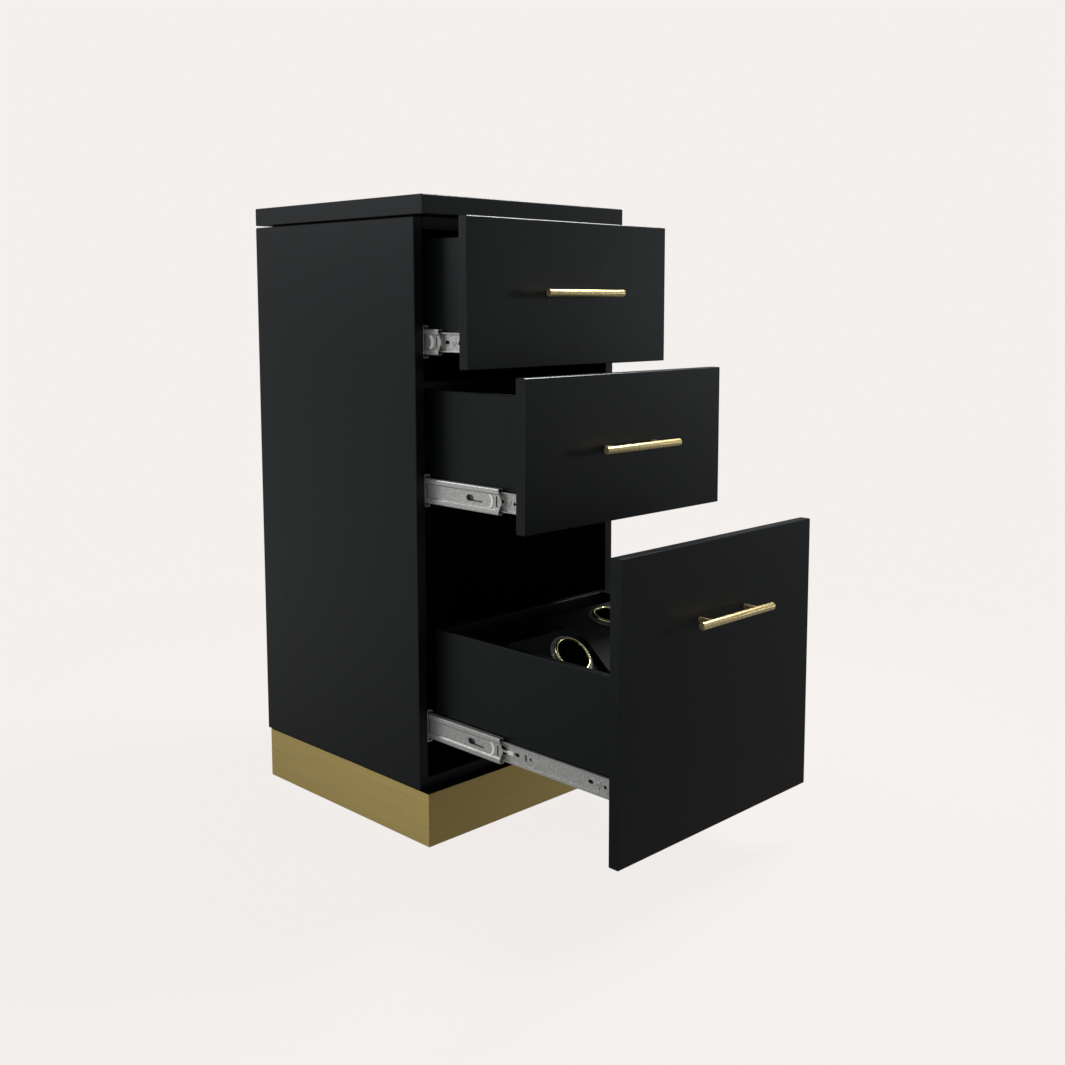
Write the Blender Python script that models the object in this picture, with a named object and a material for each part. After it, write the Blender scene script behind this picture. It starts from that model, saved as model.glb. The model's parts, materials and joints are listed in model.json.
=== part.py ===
"""Salon cabinet with three drawers on ball-bearing slides, a plinth and a tool drawer.

Every piece is its own object. Units are metres, +Z is up and the drawers open towards -Y.
In the cabinet's frame, X is 0 at the middle, Y is 0 at the face of the closed drawer
fronts and Z is 0 at the floor.
"""
import math
from dataclasses import dataclass

import bmesh
import bpy
from mathutils import Matrix, Vector

# Cabinet
CABINET_WIDTH = 0.400
CABINET_DEPTH = 0.400
CABINET_HEIGHT = 0.900
BOARD = 0.016
BOARD_ARRIS = 0.001
WORKTOP_THICKNESS = 0.026
WORKTOP_LIFT = 0.003
SPACER_SETBACK = 0.018
SPACER_MARGIN = 0.002
BACK_THICKNESS = 0.006
BACK_INSET = 0.010
BACK_GROOVE = 0.006
PLINTH_HEIGHT = 0.077
PLINTH_BOARD = 0.018
PLINTH_INSET = 0.008
CLADDING = 0.001
CLADDING_LIFT = 0.001
SEAT_GAP = 0.0003

# Drawer fronts
FRONT_THICKNESS = 0.016
FRONT_BUFFER = 0.003
FRONT_SPACING = 0.006
FRONT_SIDE_GAP = 0.001
FRONT_FOOT_GAP = 0.003
TOP_FRONT_HEIGHT = 0.198
MIDDLE_FRONT_HEIGHT = 0.198

# Drawer boxes
BOX_DEPTH = 0.350
BOX_WALL = 0.012
BOX_BOTTOM = 0.005
BOX_BOTTOM_RISE = 0.010
BOX_GROOVE = 0.005
SMALL_BOX_RISE = 0.021
SMALL_BOX_DROP = 0.025
BOTTOM_BOX_RISE = 0.073
BOTTOM_BOX_DROP = 0.155

# Handles
HANDLE_SPACING = 0.096
HANDLE_LENGTH = 0.150
HANDLE_BAR_RADIUS = 0.005
HANDLE_POST_RADIUS = 0.0033
HANDLE_CHAMFER = 0.0006
HANDLE_REACH = 0.025
HANDLE_DROP = 0.098

# Slides
SLIDE_THICKNESS = 0.0127
SLIDE_HEIGHT = 0.045
SLIDE_LENGTH = 0.350
SLIDE_SETBACK = 0.002
CARRIAGE_SETBACK = 0.004
CARRIAGE_LENGTH = 0.342
DRAWER_MEMBER_LENGTH = 0.345
SHEET = 0.0012
BEND_RADIUS = 0.0012
OUTER_DEPTH = 0.0102
OUTER_LIP = 0.0026
CARRIAGE_DEPTH = 0.0116
CARRIAGE_LIP = 0.0017
CARRIAGE_RECESS = 0.0018
CARRIAGE_SHOULDER = 0.0060
TONGUE_REACH = 0.007
TONGUE_RADIUS = 0.009
OUTER_BALL_RADIUS = 0.0018
INNER_BALL_RADIUS = 0.00155
BALL_PLAY = 0.0001
BALLS_IN_ROW = 3
CAGE_SHEET = 0.0006
CAGE_LENGTH = 0.120
CAGE_BORDER = 0.012
CAGE_PLAY = 0.0004
CAGE_END_STOP = 0.004
CARRIAGE_TRAVEL = 0.146
DRAWER_TRAVEL = 0.204

# Holes in the slides' webs: distance from the front end, height, length and width
CABINET_MEMBER_HOLES = (
    (0.035, 0, 0.0045, 0.0045),
    (0.163, 0, 0.0085, 0.0045),
    (0.291, 0, 0.0045, 0.0045),
)
CARRIAGE_HOLES = (
    (0.002, 0, 0.003, 0.015),
    (0.039, -0.003, 0.020, 0.0025),
    (0.0535, 0, 0.0155, 0.0085),
    (0.300, 0, 0.009, 0.007),
)
DRAWER_MEMBER_HOLES = (
    (0.0285, -0.001, 0.005, 0.005),
    (0.038, 0, 0.0045, 0.0045),
    (0.038, -0.005, 0.002, 0.002),
    (0.0525, 0, 0.009, 0.005),
    (0.159, 0, 0.0045, 0.0045),
    (0.168, 0, 0.003, 0.010),
    (0.184, 0, 0.009, 0.005),
    (0.217, 0, 0.027, 0.012),
    (0.320, 0, 0.0045, 0.0045),
)

# How far each drawer and its slide carriage stand open
TOP_OPEN = 0.086
TOP_CARRIAGE_OPEN = 0.029
MIDDLE_OPEN = 0.191
MIDDLE_CARRIAGE_OPEN = CARRIAGE_TRAVEL
BOTTOM_OPEN = CARRIAGE_TRAVEL + DRAWER_TRAVEL
BOTTOM_CARRIAGE_OPEN = CARRIAGE_TRAVEL

# Tool trays and cups of the bottom drawer
TRAY_SHEET = 0.002
TRAY_BEND = 0.003
TRAY_SPLIT = -0.036
LEFT_TRAY_TOP = 0.214
LEFT_TRAY_RISE = 0.139
LEFT_TRAY_SLOPE = math.radians(43.7)
RIGHT_TRAY_TOP = 0.190
RIGHT_TRAY_RISE = 0.1255
RIGHT_TRAY_SLOPE = math.radians(39.5)
DECK_DEPTH = 0.080
DECK_SLOPE = math.radians(12)
CUP_RADIUS = 0.026
CUP_WALL = 0.0012
CUP_DEPTH = 0.060
CUP_STAND = 0.0045
CUP_BEAD_RADIUS = 0.0022
CUP_FLANGE_RADIUS = 0.033
CUP_FLANGE = 0.0012
LEFT_CUP_X = -0.072
LEFT_CUP_DOWN = 0.0425
RIGHT_CUP_X = 0.054
RIGHT_CUP_BACK = 0.034

# Number of straight pieces in a round
ROUND_STEPS = 20
CUP_STEPS = 32
BEAD_STEPS = 9
BEND_STEPS = 2
HOLE_STEPS = 8
BALL_STEPS = 6

# Places that follow from the sizes above
FRAME_Y = (BOTTOM_OPEN + HANDLE_REACH + SEAT_GAP + HANDLE_BAR_RADIUS - CABINET_DEPTH) / 2
CARCASS_FRONT = FRONT_THICKNESS + FRONT_BUFFER
CARCASS_TOP = CABINET_HEIGHT - WORKTOP_THICKNESS - WORKTOP_LIFT
PANEL_FOOT = PLINTH_HEIGHT + SEAT_GAP
INNER_HALF = CABINET_WIDTH / 2 - BOARD
BACK_FRONT = CABINET_DEPTH - BACK_INSET - BACK_THICKNESS
BOX_HALF = INNER_HALF - SLIDE_THICKNESS
BOX_INNER_HALF = BOX_HALF - BOX_WALL
BOX_FLOOR = BOX_BOTTOM_RISE + BOX_BOTTOM
CARRIAGE_HEIGHT = SLIDE_HEIGHT - 2 * (SHEET + 2 * OUTER_BALL_RADIUS + 2 * BALL_PLAY)
MEMBER_HEIGHT = CARRIAGE_HEIGHT - 2 * (SHEET + 2 * INNER_BALL_RADIUS + 2 * BALL_PLAY)
CABINET_WEB_X = SEAT_GAP + SHEET / 2
OUTER_CAGE_X = CABINET_WEB_X + SHEET / 2 + CAGE_PLAY + CAGE_SHEET / 2
CARRIAGE_X = OUTER_CAGE_X + CAGE_SHEET / 2 + CAGE_PLAY + SHEET / 2
CARRIAGE_WEB_X = CARRIAGE_X + CARRIAGE_RECESS
INNER_CAGE_X = CARRIAGE_WEB_X + SHEET / 2 + CAGE_PLAY + CAGE_SHEET / 2
MEMBER_EDGE_X = INNER_CAGE_X + CAGE_SHEET / 2 + CAGE_PLAY
OUTER_BALL_X = (CARRIAGE_X + OUTER_DEPTH - SHEET / 2) / 2
INNER_BALL_X = (MEMBER_EDGE_X + CARRIAGE_DEPTH - SHEET) / 2


@dataclass
class Drawer:
    """One drawer: its name, the heights of its pieces and how far it stands open."""

    name: str
    front_bottom: float
    front_top: float
    box_bottom: float
    box_top: float
    opened: float
    carriage_opened: float

    @property
    def box_height(self):
        return self.box_top - self.box_bottom

    @property
    def slide_height(self):
        return self.box_bottom + MEMBER_HEIGHT / 2


def drawer_stack():
    """The three drawers, stacked down from the worktop to the plinth."""
    top = CARCASS_TOP + WORKTOP_LIFT - FRONT_SPACING
    middle = top - TOP_FRONT_HEIGHT - FRONT_SPACING
    bottom = middle - MIDDLE_FRONT_HEIGHT - FRONT_SPACING
    foot = PLINTH_HEIGHT + FRONT_FOOT_GAP
    top_low = top - TOP_FRONT_HEIGHT
    middle_low = middle - MIDDLE_FRONT_HEIGHT
    return (
        Drawer("top", top_low, top, top_low + SMALL_BOX_RISE, top - SMALL_BOX_DROP,
               TOP_OPEN, TOP_CARRIAGE_OPEN),
        Drawer("middle", middle_low, middle, middle_low + SMALL_BOX_RISE,
               middle - SMALL_BOX_DROP, MIDDLE_OPEN, MIDDLE_CARRIAGE_OPEN),
        Drawer("bottom", foot, bottom, foot + BOTTOM_BOX_RISE, bottom - BOTTOM_BOX_DROP,
               BOTTOM_OPEN, BOTTOM_CARRIAGE_OPEN),
    )


# ---------------------------------------------------------------- shapes

def rounded_path(path, radius, steps=BEND_STEPS):
    """Points and left-hand normals along a path whose corners are rounded."""
    points = [Vector(p) for p in path]
    directions = [(b - a).normalized() for a, b in zip(points, points[1:])]
    line = [(points[0], directions[0].orthogonal())]
    for corner, incoming, outgoing in zip(points[1:], directions, directions[1:]):
        turn = incoming.angle_signed(outgoing)
        side = -math.copysign(1, turn)
        start = corner - incoming * radius * math.tan(abs(turn) / 2)
        normal = incoming.orthogonal()
        centre = start + normal * side * radius
        for step in range(steps + 1):
            swung = normal.copy()
            swung.rotate(Matrix.Rotation(-turn * step / steps, 2))
            line.append((centre - swung * side * radius, swung))
    line.append((points[-1], directions[-1].orthogonal()))
    return line


def bent_sheet(path, thickness, radius):
    """Outline of a folded sheet around its centre line."""
    line = rounded_path(path, radius)
    left = [point + normal * thickness / 2 for point, normal in line]
    right = [point - normal * thickness / 2 for point, normal in line]
    return left + right[::-1]


def arc(centre, radii, start, end, steps):
    """Points on an ellipse's arc, with the angles in degrees."""
    angles = [math.radians(start + (end - start) * step / steps) for step in range(steps + 1)]
    return [(centre[0] + radii[0] * math.cos(a), centre[1] + radii[1] * math.sin(a))
            for a in angles]


def slot_outline(centre, length, height):
    """A slot with round ends along its longer side, or a circle where both sides are equal."""
    radius = min(length, height) / 2
    reach_a = length / 2 - radius
    reach_b = height / 2 - radius
    outline = []
    for start, side_a, side_b in ((0, 1, 1), (90, -1, 1), (180, -1, -1), (270, 1, -1)):
        corner = (centre[0] + side_a * reach_a, centre[1] + side_b * reach_b)
        outline += arc(corner, (radius, radius), start, start + 90, HOLE_STEPS // 4)
    return outline


def mesh_from(bm, name):
    """Close a bmesh into a mesh with its faces pointing out."""
    bmesh.ops.recalc_face_normals(bm, faces=bm.faces)
    mesh = bpy.data.meshes.new(name)
    bm.to_mesh(mesh)
    bm.free()
    return mesh


def prism(outline, start, end, axis):
    """A closed outline pushed along X, Y or Z from start to end."""
    place = {
        "X": lambda a, b: (start, a, b),
        "Y": lambda a, b: (a, start, b),
        "Z": lambda a, b: (a, b, start),
    }[axis]
    shift = {"X": (1, 0, 0), "Y": (0, 1, 0), "Z": (0, 0, 1)}[axis]
    bm = bmesh.new()
    bm.faces.new([bm.verts.new(place(a, b)) for a, b in outline])
    bmesh.ops.remove_doubles(bm, verts=bm.verts, dist=1e-7)
    pushed = bmesh.ops.extrude_face_region(bm, geom=bm.faces[:])["geom"]
    moved = [item for item in pushed if isinstance(item, bmesh.types.BMVert)]
    bmesh.ops.translate(bm, verts=moved, vec=Vector(shift) * (end - start))
    return mesh_from(bm, "prism")


def lathe(profile, steps):
    """Turn a profile of (radius, height) points, on the axis at both ends, about Z."""
    bm = bmesh.new()
    rings = []
    for radius, height in profile[1:-1]:
        angles = [math.tau * step / steps for step in range(steps)]
        rings.append([bm.verts.new((radius * math.cos(a), radius * math.sin(a), height))
                      for a in angles])
    for low, high in zip(rings, rings[1:]):
        for step in range(steps):
            after = (step + 1) % steps
            bm.faces.new((low[step], low[after], high[after], high[step]))
    for ring, (_, height) in ((rings[0], profile[0]), (rings[-1], profile[-1])):
        pole = bm.verts.new((0, 0, height))
        for step in range(steps):
            bm.faces.new((ring[step], ring[(step + 1) % steps], pole))
    return mesh_from(bm, "lathe")


def moved(mesh, matrix):
    """A copy of a mesh, moved; a mirrored copy keeps its faces pointing out."""
    copy = mesh.copy()
    copy.transform(matrix)
    if matrix.determinant() < 0:
        copy.flip_normals()
    return copy


def mirrored(mesh):
    """The right-hand twin of a left-hand mesh."""
    return moved(mesh, Matrix.Scale(-1, 4, (1, 0, 0)))


def boolean(mesh, tools, operation):
    """Cut the tools from a mesh (DIFFERENCE) or join them to it (UNION)."""
    scene = bpy.context.scene.collection.objects
    base = bpy.data.objects.new("base", mesh)
    scene.link(base)
    helpers = []
    for tool in tools:
        helper = bpy.data.objects.new("tool", tool)
        scene.link(helper)
        helpers.append(helper)
        modifier = base.modifiers.new("boolean", "BOOLEAN")
        modifier.operation = operation
        modifier.solver = "EXACT"
        modifier.object = helper
    depsgraph = bpy.context.evaluated_depsgraph_get()
    result = bpy.data.meshes.new_from_object(base.evaluated_get(depsgraph))
    for helper in [base] + helpers:
        bpy.data.objects.remove(helper)
    return result


def smooth(mesh, angle=35):
    """Shade a round mesh smooth, with its real edges left sharp."""
    mesh.shade_smooth()
    mesh.set_sharp_from_angle(angle=math.radians(angle))
    return mesh


# ---------------------------------------------------------------- objects

def make_material(name, colour, roughness, metallic):
    """A Principled material."""
    material = bpy.data.materials.new(name)
    material.use_nodes = True
    shader = material.node_tree.nodes["Principled BSDF"]
    shader.inputs["Base Color"].default_value = (*colour, 1)
    shader.inputs["Roughness"].default_value = roughness
    shader.inputs["Metallic"].default_value = metallic
    return material


def add_frame(name, parent, location):
    """An empty that carries the pieces of one body."""
    frame = bpy.data.objects.new(name, None)
    frame.parent = parent
    frame.location = location
    bpy.context.scene.collection.objects.link(frame)
    return frame


def add_piece(name, mesh, material, parent, location=(0, 0, 0), tilt=0.0):
    """One named piece of the product."""
    piece = bpy.data.objects.new(name, mesh)
    piece.parent = parent
    piece.location = location
    piece.rotation_euler = (tilt, 0, 0)
    if not mesh.materials:
        mesh.materials.append(material)
    bpy.context.scene.collection.objects.link(piece)
    return piece


def round_arrises(piece, width=BOARD_ARRIS):
    """Soften a board's edges as its edge band does."""
    bevel = piece.modifiers.new("arris", "BEVEL")
    bevel.width = width
    bevel.segments = 1
    bevel.limit_method = "ANGLE"
    return piece


def add_board(name, low, high, material, parent):
    """A rectangular board between two corners, with its origin in its middle."""
    low, high = Vector(low), Vector(high)
    half = (high - low) / 2
    outline = [(-half.x, -half.y), (half.x, -half.y), (half.x, half.y), (-half.x, half.y)]
    mesh = prism(outline, -half.z, half.z, "Z")
    return round_arrises(add_piece(name, mesh, material, parent, (low + high) / 2))


# ---------------------------------------------------------------- carcass

def add_worktop(frame, materials):
    """The thick top, which stands on the spacer plate of the top panel."""
    half = CABINET_WIDTH / 2
    add_board("worktop", (-half, 0, CABINET_HEIGHT - WORKTOP_THICKNESS),
              (half, CABINET_DEPTH, CABINET_HEIGHT), materials["board"], frame)


def rectangle(half, front, rear):
    """Outline of a rectangle that reaches as far to the left as to the right."""
    return [(-half, front), (half, front), (half, rear), (-half, rear)]


def top_panel_mesh(rear):
    """Top panel of the carcass with the worktop's spacer plate; Z is 0 at its upper face."""
    panel = prism(rectangle(INNER_HALF - SEAT_GAP, CARCASS_FRONT, rear), -BOARD, 0, "Z")
    outline = rectangle(INNER_HALF - SPACER_MARGIN, CARCASS_FRONT + SPACER_SETBACK,
                        rear - SPACER_MARGIN)
    plate = prism(outline, -BOARD / 2, WORKTOP_LIFT - SEAT_GAP, "Z")
    return boolean(panel, [plate], "UNION")


def side_panel_mesh():
    """Left side panel with the groove for the back; its origin is at its outer lower corner."""
    groove_front = BACK_FRONT - SEAT_GAP
    groove_rear = BACK_FRONT + BACK_THICKNESS + SEAT_GAP
    groove_x = BOARD - BACK_GROOVE
    outline = [
        (0, CARCASS_FRONT),
        (BOARD, CARCASS_FRONT),
        (BOARD, groove_front),
        (groove_x, groove_front),
        (groove_x, groove_rear),
        (BOARD, groove_rear),
        (BOARD, CABINET_DEPTH),
        (0, CABINET_DEPTH),
    ]
    return prism(outline, 0, CARCASS_TOP - PANEL_FOOT, "Z")


def add_carcass(frame, materials):
    """Side panels, bottom, back and top panel."""
    panel = side_panel_mesh()
    half = CABINET_WIDTH / 2
    for name, mesh, x in (("side_panel_left", panel, -half),
                          ("side_panel_right", mirrored(panel), half)):
        round_arrises(add_piece(name, mesh, materials["board"], frame, (x, 0, PANEL_FOOT)))
    rear = BACK_FRONT - SEAT_GAP
    bottom_half = INNER_HALF - SEAT_GAP
    add_board("bottom_panel", (-bottom_half, CARCASS_FRONT, PANEL_FOOT),
              (bottom_half, rear, PANEL_FOOT + BOARD), materials["board"], frame)
    back_half = INNER_HALF + BACK_GROOVE - SEAT_GAP
    add_board("back_panel", (-back_half, BACK_FRONT, PANEL_FOOT),
              (back_half, BACK_FRONT + BACK_THICKNESS, CARCASS_TOP), materials["board"], frame)
    add_piece("top_panel", top_panel_mesh(rear), materials["board"], frame,
              (0, 0, CARCASS_TOP))


def add_plinth(frame, materials):
    """The glued plinth frame and the folded metal cladding around its front and sides."""
    half = CABINET_WIDTH / 2
    sheet_inside = half - CLADDING
    outer = sheet_inside - SEAT_GAP
    inner = outer - PLINTH_BOARD
    front = CLADDING + SEAT_GAP
    rear = CABINET_DEPTH - PLINTH_INSET
    hollow = rectangle(inner, front + PLINTH_BOARD, rear - PLINTH_BOARD)
    cutter = prism(hollow, -PLINTH_HEIGHT, 2 * PLINTH_HEIGHT, "Z")
    block = prism(rectangle(outer, front, rear), 0, PLINTH_HEIGHT, "Z")
    ring = boolean(block, [cutter], "DIFFERENCE")
    add_piece("plinth_frame", ring, materials["board"], frame)
    outline = [(-half, 0), (half, 0), (half, rear), (sheet_inside, rear),
               (sheet_inside, CLADDING), (-sheet_inside, CLADDING), (-sheet_inside, rear),
               (-half, rear)]
    cladding = prism(outline, CLADDING_LIFT, PLINTH_HEIGHT, "Z")
    add_piece("plinth_cladding", cladding, materials["gold"], frame)


# ---------------------------------------------------------------- slides
# Slide meshes are left-hand: X is 0 on the cabinet's wall and grows towards the drawer,
# Y is 0 at the member's front end and Z is 0 at the slide's middle.

def hole_cutters(holes):
    """Cutters for the slots and round holes through a member's web."""
    return [prism(slot_outline((y, z), length, width), -SLIDE_THICKNESS, 2 * SLIDE_THICKNESS, "X")
            for y, z, length, width in holes]


def channel(path, length, start=0.0):
    """A folded sheet-metal channel along Y."""
    return prism(bent_sheet(path, SHEET, BEND_RADIUS), start, length, "Y")


def cabinet_member_mesh():
    """Outer channel, screwed to the cabinet's side."""
    half = (SLIDE_HEIGHT - SHEET) / 2
    edge = OUTER_DEPTH - SHEET / 2
    path = [(edge, half - OUTER_LIP), (edge, half), (CABINET_WEB_X, half),
            (CABINET_WEB_X, -half), (edge, -half), (edge, OUTER_LIP - half)]
    cutters = hole_cutters(CABINET_MEMBER_HOLES)
    return boolean(channel(path, SLIDE_LENGTH), cutters, "DIFFERENCE")


def carriage_mesh():
    """Middle channel: balls run above and below it, outside and inside."""
    half = (CARRIAGE_HEIGHT - SHEET) / 2
    edge = CARRIAGE_DEPTH - SHEET / 2
    shoulder = half - CARRIAGE_SHOULDER
    upper = [(edge, half - CARRIAGE_LIP), (edge, half), (CARRIAGE_X, half),
             (CARRIAGE_X, shoulder), (CARRIAGE_WEB_X, shoulder - CARRIAGE_RECESS)]
    lower = [(x, -z) for x, z in reversed(upper)]
    body = channel(upper + lower, CARRIAGE_LENGTH, -TONGUE_REACH)
    reach = SLIDE_HEIGHT
    tongue = arc((TONGUE_RADIUS - TONGUE_REACH, 0), (TONGUE_RADIUS, TONGUE_RADIUS),
                 -130, -230, HOLE_STEPS // 2)
    end = [(-reach, -reach), (0, -reach)] + tongue + [(0, reach), (-reach, reach)]
    cutters = [prism(end, -SLIDE_THICKNESS, 2 * SLIDE_THICKNESS, "X")]
    cutters += hole_cutters(CARRIAGE_HOLES)
    return boolean(body, cutters, "DIFFERENCE")


def drawer_member_mesh():
    """Inner channel, screwed to the drawer's side."""
    half = (MEMBER_HEIGHT - SHEET) / 2
    web = SLIDE_THICKNESS - SEAT_GAP - SHEET / 2
    path = [(MEMBER_EDGE_X, half), (web, half), (web, -half), (MEMBER_EDGE_X, -half)]
    cutters = hole_cutters(DRAWER_MEMBER_HOLES)
    return boolean(channel(path, DRAWER_MEMBER_LENGTH), cutters, "DIFFERENCE")


def ball_mesh(radius):
    """A ball with few faces."""
    profile = [(0, -radius)] + [(radius * math.cos(a), radius * math.sin(a))
                                for a in (-math.pi / 4, 0, math.pi / 4)] + [(0, radius)]
    return lathe(profile, BALL_STEPS)


def cage_mesh(web_x, ball_x, ball_z, ball_radius):
    """A ball cage: a folded frame with an open middle and a row of balls above and below."""
    edge = ball_x + ball_radius + CAGE_PLAY
    path = [(edge, ball_z), (web_x, ball_z), (web_x, -ball_z), (edge, -ball_z)]
    frame = prism(bent_sheet(path, CAGE_SHEET, CAGE_SHEET), 0, CAGE_LENGTH, "Y")
    far = CAGE_LENGTH - CAGE_BORDER
    window_z = ball_z - 2 * ball_radius
    window = [(CAGE_BORDER, -window_z), (far, -window_z), (far, window_z),
              (CAGE_BORDER, window_z)]
    reach = SHEET / 2
    frame = boolean(frame, [prism(window, web_x - reach, web_x + reach, "X")], "DIFFERENCE")
    ball = ball_mesh(ball_radius)
    balls = []
    for row in range(BALLS_IN_ROW):
        y = CAGE_BORDER + (far - CAGE_BORDER) * row / (BALLS_IN_ROW - 1)
        for z in (-ball_z, ball_z):
            balls.append(moved(ball, Matrix.Translation((ball_x, y, z))))
    return boolean(frame, balls, "UNION")


def slide_meshes():
    """The left and right mesh of every slide piece; the three drawers share them."""
    outer_z = (CARRIAGE_HEIGHT + SLIDE_HEIGHT - 2 * SHEET) / 4
    inner_z = (MEMBER_HEIGHT + CARRIAGE_HEIGHT - 2 * SHEET) / 4
    meshes = {
        "cabinet_member": cabinet_member_mesh(),
        "carriage": carriage_mesh(),
        "drawer_member": drawer_member_mesh(),
        "outer_ball_cage": cage_mesh(OUTER_CAGE_X, OUTER_BALL_X, outer_z, OUTER_BALL_RADIUS),
        "inner_ball_cage": cage_mesh(INNER_CAGE_X, INNER_BALL_X, inner_z, INNER_BALL_RADIUS),
    }
    return {kind: (("left", smooth(mesh), -INNER_HALF),
                   ("right", smooth(mirrored(mesh)), INNER_HALF))
            for kind, mesh in meshes.items()}


def add_slide_pair(drawer, kind, meshes, material, parent, y, z):
    """The left and right piece of one kind for one drawer."""
    for side, mesh, x in meshes[kind]:
        add_piece(f"{drawer.name}_{kind}_{side}", mesh, material, parent, (x, y, z))


def add_slides(drawer, frame, carriage_frame, drawer_frame, meshes, materials):
    """Both slides of a drawer, with each ball cage halfway between its two members."""
    steel = materials["zinc"]
    height = drawer.slide_height
    member_front = CARCASS_FRONT + SLIDE_SETBACK
    front = member_front + CARRIAGE_SETBACK
    add_slide_pair(drawer, "cabinet_member", meshes, steel, frame, member_front, height)
    add_slide_pair(drawer, "carriage", meshes, steel, carriage_frame, front, height)
    add_slide_pair(drawer, "drawer_member", meshes, steel, drawer_frame,
                   SEAT_GAP, MEMBER_HEIGHT / 2)
    outer_y = front + CARRIAGE_TRAVEL / 2 + CAGE_END_STOP - drawer.carriage_opened / 2
    cage_frame = add_frame(f"{drawer.name}_outer_cage_frame", frame, (0, outer_y, height))
    add_slide_pair(drawer, "outer_ball_cage", meshes, materials["cage"], cage_frame, 0, 0)
    rolled = (drawer.opened - drawer.carriage_opened) / 2
    inner_y = front + DRAWER_TRAVEL / 2 + CAGE_END_STOP - rolled
    cage_frame = add_frame(f"{drawer.name}_inner_cage_frame", carriage_frame,
                           (0, inner_y, height))
    add_slide_pair(drawer, "inner_ball_cage", meshes, materials["cage"], cage_frame, 0, 0)


# ---------------------------------------------------------------- drawers
# A drawer's frame has Y 0 at the back of its front and Z 0 at the box's lower edge.

def box_side_mesh(height):
    """Left side of a drawer box, with the groove for the bottom; X is 0 at its outer face."""
    groove_x = BOX_WALL - BOX_GROOVE
    low = BOX_BOTTOM_RISE - SEAT_GAP
    high = BOX_FLOOR + SEAT_GAP
    outline = [(0, 0), (BOX_WALL, 0), (BOX_WALL, low), (groove_x, low),
               (groove_x, high), (BOX_WALL, high), (BOX_WALL, height), (0, height)]
    return prism(outline, SEAT_GAP, BOX_DEPTH, "Y")


def handle_mesh():
    """A bar on two posts; its origin is between the posts, on the drawer front."""
    bevel = HANDLE_CHAMFER
    radius = HANDLE_BAR_RADIUS
    half = HANDLE_LENGTH / 2
    bar = lathe([(0, -half), (radius - bevel, -half), (radius, bevel - half),
                 (radius, half - bevel), (radius - bevel, half), (0, half)], ROUND_STEPS)
    to_x = Matrix.Rotation(math.pi / 2, 4, "Y")
    bar = moved(bar, Matrix.Translation((0, -HANDLE_REACH, 0)) @ to_x)
    post = lathe([(0, 0), (HANDLE_POST_RADIUS, 0), (HANDLE_POST_RADIUS, HANDLE_REACH),
                  (0, HANDLE_REACH)], ROUND_STEPS)
    to_front = Matrix.Rotation(math.pi / 2, 4, "X")
    posts = [moved(post, Matrix.Translation((x, 0, 0)) @ to_front)
             for x in (-HANDLE_SPACING / 2, HANDLE_SPACING / 2)]
    return smooth(boolean(bar, posts, "UNION"))


def add_drawer(drawer, frame, handle, materials):
    """Front, box and handle of one drawer."""
    name = drawer.name
    board = materials["board"]
    side = box_side_mesh(drawer.box_height)
    half = CABINET_WIDTH / 2 - FRONT_SIDE_GAP
    low = drawer.front_bottom - drawer.box_bottom
    high = drawer.front_top - drawer.box_bottom
    add_board(f"{name}_drawer_front", (-half, -FRONT_THICKNESS, low), (half, 0, high),
              board, frame)
    for end, mesh, x in (("left", side, -BOX_HALF), ("right", mirrored(side), BOX_HALF)):
        round_arrises(add_piece(f"{name}_drawer_side_{end}", mesh, board, frame, (x, 0, 0)))
    back_half = BOX_INNER_HALF - SEAT_GAP
    add_board(f"{name}_drawer_back",
              (-back_half, BOX_DEPTH - BOX_WALL, BOX_FLOOR + SEAT_GAP),
              (back_half, BOX_DEPTH, drawer.box_height), board, frame)
    floor_half = BOX_INNER_HALF + BOX_GROOVE - SEAT_GAP
    add_board(f"{name}_drawer_bottom", (-floor_half, SEAT_GAP, BOX_BOTTOM_RISE),
              (floor_half, BOX_DEPTH, BOX_FLOOR), board, frame)
    add_piece(f"{name}_handle", handle, materials["gold"], frame,
              (0, -FRONT_THICKNESS - SEAT_GAP, high - HANDLE_DROP))


# ---------------------------------------------------------------- tool trays

def tray_mesh(path, left, right, cup_x, cup_place, tilt):
    """A tray folded from sheet, open below, with a side cheek at each end and a cup hole.

    The path is the sheet's centre line in the YZ plane, from its foot to its far end.
    """
    line = rounded_path(path, TRAY_BEND)
    upper = [point + normal * TRAY_SHEET / 2 for point, normal in line]
    lower = [point - normal * TRAY_SHEET / 2 for point, normal in line]
    solid = upper + [(upper[-1].x, 0), (upper[0].x, 0)]
    hollow = lower + [(lower[-1].x, -TRAY_SHEET), (lower[0].x, -TRAY_SHEET)]
    radius = CUP_RADIUS + SEAT_GAP
    drill = lathe([(0, -CUP_RADIUS), (radius, -CUP_RADIUS), (radius, CUP_RADIUS),
                   (0, CUP_RADIUS)], CUP_STEPS)
    place = Matrix.Translation((cup_x, *cup_place)) @ Matrix.Rotation(tilt, 4, "X")
    cutters = [prism(hollow, left + TRAY_SHEET, right - TRAY_SHEET, "X"), moved(drill, place)]
    return boolean(prism(solid, left, right, "X"), cutters, "DIFFERENCE")


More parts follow.
